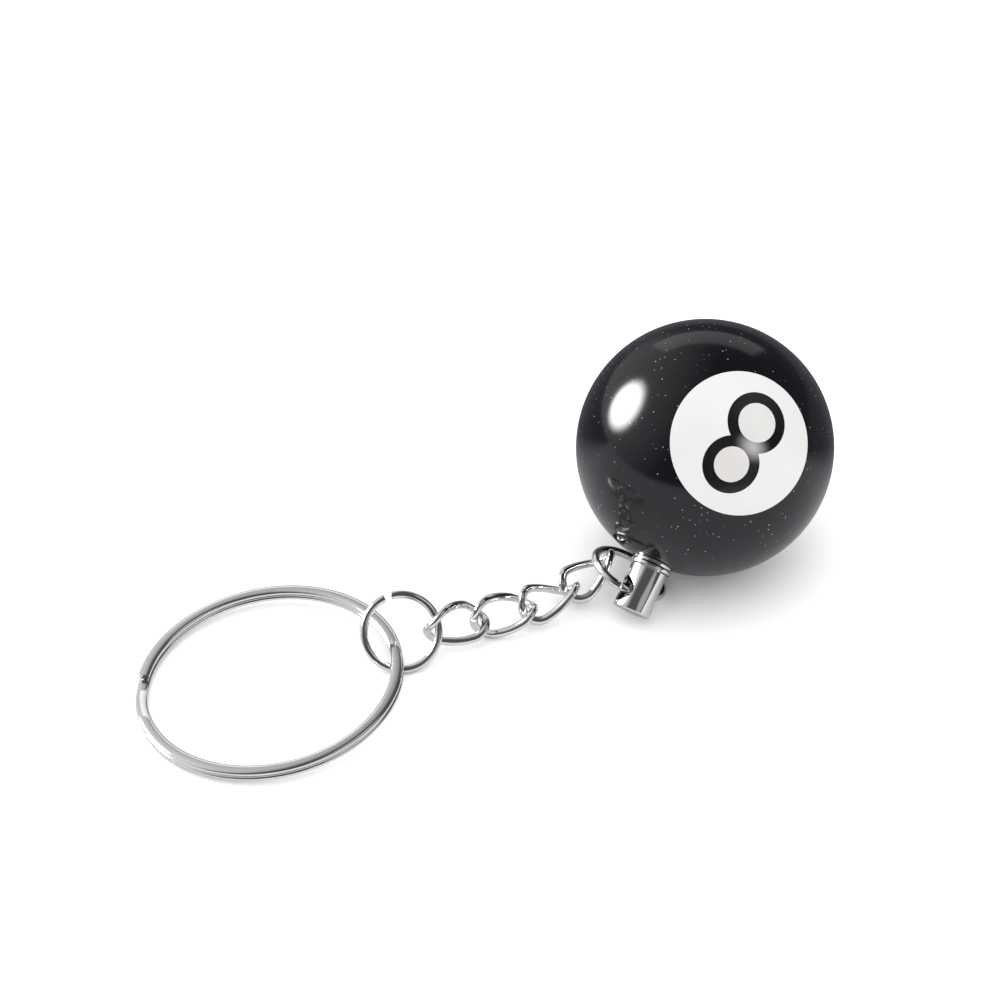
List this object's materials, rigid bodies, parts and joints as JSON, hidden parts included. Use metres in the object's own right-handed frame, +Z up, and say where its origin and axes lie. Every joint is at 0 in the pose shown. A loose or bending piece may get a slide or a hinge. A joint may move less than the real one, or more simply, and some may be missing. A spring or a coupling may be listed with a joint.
{
  "type": "pool ball key chain",
  "caption": "Key chain with a small black pool ball numbered eight, a grooved collar and post, a short twisted-link chain, a jump ring and a split key ring.",
  "frame": {"origin": "under the middle of the whole key chain, on the surface it lies on", "axes": "+X along the chain from the key ring to the ball, +Z up from the surface"},
  "size_m": [0.0713, 0.0256, 0.025],
  "materials": {
    "ball_resin": "polished",
    "inlay_white": "polished",
    "inlay_black": "polished",
    "chrome": "polished",
    "steel": "machined"
  },
  "bodies": {
    "key_ring": {"key_ring": "chrome"},
    "jump_ring": {"jump_ring": "chrome"},
    "chain_link_1": {"chain_link_1": "chrome"},
    "chain_link_2": {"chain_link_2": "chrome"},
    "chain_link_3": {"chain_link_3": "chrome"},
    "chain_link_4": {"chain_link_4": "chrome"},
    "bail_ring": {"bail_ring": "chrome"},
    "ball": {"ball_body": "ball_resin", "front_number_spot": "inlay_white", "front_numeral_eight": "inlay_black", "front_bottom_loop_centre": "inlay_white", "front_top_loop_centre": "inlay_white", "back_number_spot": "inlay_white", "back_numeral_eight": "inlay_black", "back_bottom_loop_centre": "inlay_white", "back_top_loop_centre": "inlay_white", "collar": "chrome", "post": "chrome", "threaded_stud": "steel"}
  },
  "joints": [
    {"name": "jump_ring_travel", "type": "hinge", "parent": "key_ring", "child": "jump_ring", "pos_m": [-0.02297, -0.00012, 0.00072], "axis": [-0.056, 0.0054, 0.9984], "continuous": true},
    {"name": "chain_link_1_swing", "type": "hinge", "parent": "jump_ring", "child": "chain_link_1", "pos_m": [-0.00705, -0.00212, 0.00301], "axis": [0, 0, 1], "range_deg": [-20, 20]},
    {"name": "chain_link_2_swing", "type": "hinge", "parent": "chain_link_1", "child": "chain_link_2", "pos_m": [-0.00225, -0.00195, 0.002], "axis": [0, 0, 1], "range_deg": [-20, 20]},
    {"name": "chain_link_3_swing", "type": "hinge", "parent": "chain_link_2", "child": "chain_link_3", "pos_m": [0.00263, -0.00247, 0.002], "axis": [0, 0, 1], "range_deg": [-20, 20]},
    {"name": "chain_link_4_swing", "type": "hinge", "parent": "chain_link_3", "child": "chain_link_4", "pos_m": [0.0075, -0.00187, 0.002], "axis": [0, 0, 1], "range_deg": [-20, 20]},
    {"name": "bail_ring_swing", "type": "hinge", "parent": "chain_link_4", "child": "bail_ring", "pos_m": [0.01206, -0.0006, 0.00331], "axis": [0, 0, 1], "range_deg": [-20, 4]},
    {"name": "ball_swing", "type": "hinge", "parent": "bail_ring", "child": "ball", "pos_m": [0.01264, -0.0062, 0.00267], "axis": [-0.8241, 0.2357, 0.515], "range_deg": [-70, 2]}
  ]
}
